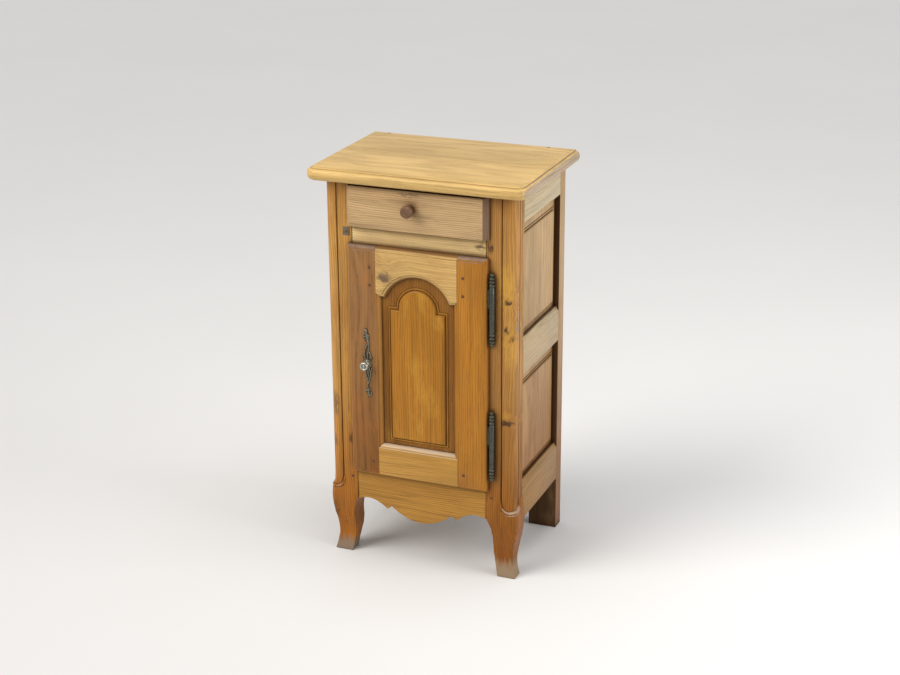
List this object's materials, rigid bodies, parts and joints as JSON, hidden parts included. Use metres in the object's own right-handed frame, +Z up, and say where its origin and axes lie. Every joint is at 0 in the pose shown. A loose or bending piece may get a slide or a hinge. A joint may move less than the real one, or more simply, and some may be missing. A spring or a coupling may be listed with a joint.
{
  "type": "small wooden cupboard",
  "caption": "Small free-standing oak cupboard on cabriole front legs, with a knobbed drawer above a hinged door that has an arched raised panel, and panelled sides.",
  "frame": {"origin": "middle of the whole object's bounding box, at floor level", "axes": "+Z up, front faces -Y, +X to the right as seen from the front, where the door's hinges are"},
  "size_m": [0.452, 0.334, 0.82],
  "materials": {
    "honey_oak": "waxed oak, satin",
    "pale_oak": "waxed oak, paler and glossier",
    "brown_oak": "waxed oak, browner board",
    "raw_oak": "unfinished oak, matt",
    "turned_wood": "turned and waxed, satin",
    "dark_peg": "dark end grain",
    "dark_iron": "dark patinated",
    "aged_pewter": "aged, rubbed bright on edges"
  },
  "bodies": {
    "cabinet": {"apron": "honey_oak", "apron_peg_left": "dark_peg", "apron_peg_right": "dark_peg", "back_board_left": "raw_oak", "back_board_right": "raw_oak", "back_bottom_rail": "raw_oak", "back_top_rail": "raw_oak", "bottom_board": "raw_oak", "drawer_rail": "honey_oak", "drawer_rail_peg_left": "dark_peg", "drawer_rail_peg_right": "dark_peg", "drawer_runner_left": "raw_oak", "drawer_runner_right": "raw_oak", "floor_cleat_left": "raw_oak", "floor_cleat_right": "raw_oak", "front_post_left": "honey_oak", "front_post_right": "honey_oak", "latch_strike": "dark_iron", "lower_hinge_post_half": "dark_iron", "rear_post_left": "honey_oak", "rear_post_right": "honey_oak", "shelf": "raw_oak", "shelf_cleat_left": "raw_oak", "shelf_cleat_right": "raw_oak", "side_bottom_rail_left": "honey_oak", "side_bottom_rail_right": "honey_oak", "side_lower_panel_left": "honey_oak", "side_lower_panel_right": "honey_oak", "side_middle_rail_left": "honey_oak", "side_middle_rail_right": "honey_oak", "side_top_rail_left": "honey_oak", "side_top_rail_right": "honey_oak", "side_upper_panel_left": "honey_oak", "side_upper_panel_right": "honey_oak", "top_front_board": "pale_oak", "top_front_rail": "honey_oak", "top_rear_board": "pale_oak", "upper_hinge_post_half": "dark_iron"},
    "drawer": {"drawer_front": "honey_oak", "drawer_side_left": "raw_oak", "drawer_side_right": "raw_oak", "drawer_back": "raw_oak", "drawer_bottom": "raw_oak", "drawer_knob": "turned_wood"},
    "door": {"door_bottom_rail": "honey_oak", "door_bottom_rail_peg_left_1": "dark_peg", "door_bottom_rail_peg_right_1": "dark_peg", "door_panel": "honey_oak", "door_stile_left": "brown_oak", "door_stile_right": "honey_oak", "door_top_rail": "honey_oak", "door_top_rail_peg_left_1": "dark_peg", "door_top_rail_peg_left_2": "dark_peg", "door_top_rail_peg_right_1": "dark_peg", "door_top_rail_peg_right_2": "dark_peg", "knob_plate": "aged_pewter", "upper_hinge_door_half": "dark_iron", "lower_hinge_door_half": "dark_iron"},
    "knob": {"door_knob": "aged_pewter", "latch_tongue": "dark_iron"}
  },
  "joints": [
    {"name": "drawer_slide", "type": "slide", "parent": "cabinet", "child": "drawer", "axis": [0, -1, 0], "range_m": [0, 0.19]},
    {"name": "door_hinge", "type": "hinge", "parent": "cabinet", "child": "door", "pos_m": [0.153, -0.132, 0.431], "axis": [0, 0, 1], "range_deg": [0, 160]},
    {"name": "knob_turn", "type": "hinge", "parent": "door", "child": "knob", "pos_m": [-0.1045, -0.125, 0.43], "axis": [0, 1, 0], "range_deg": [0, 90]}
  ]
}
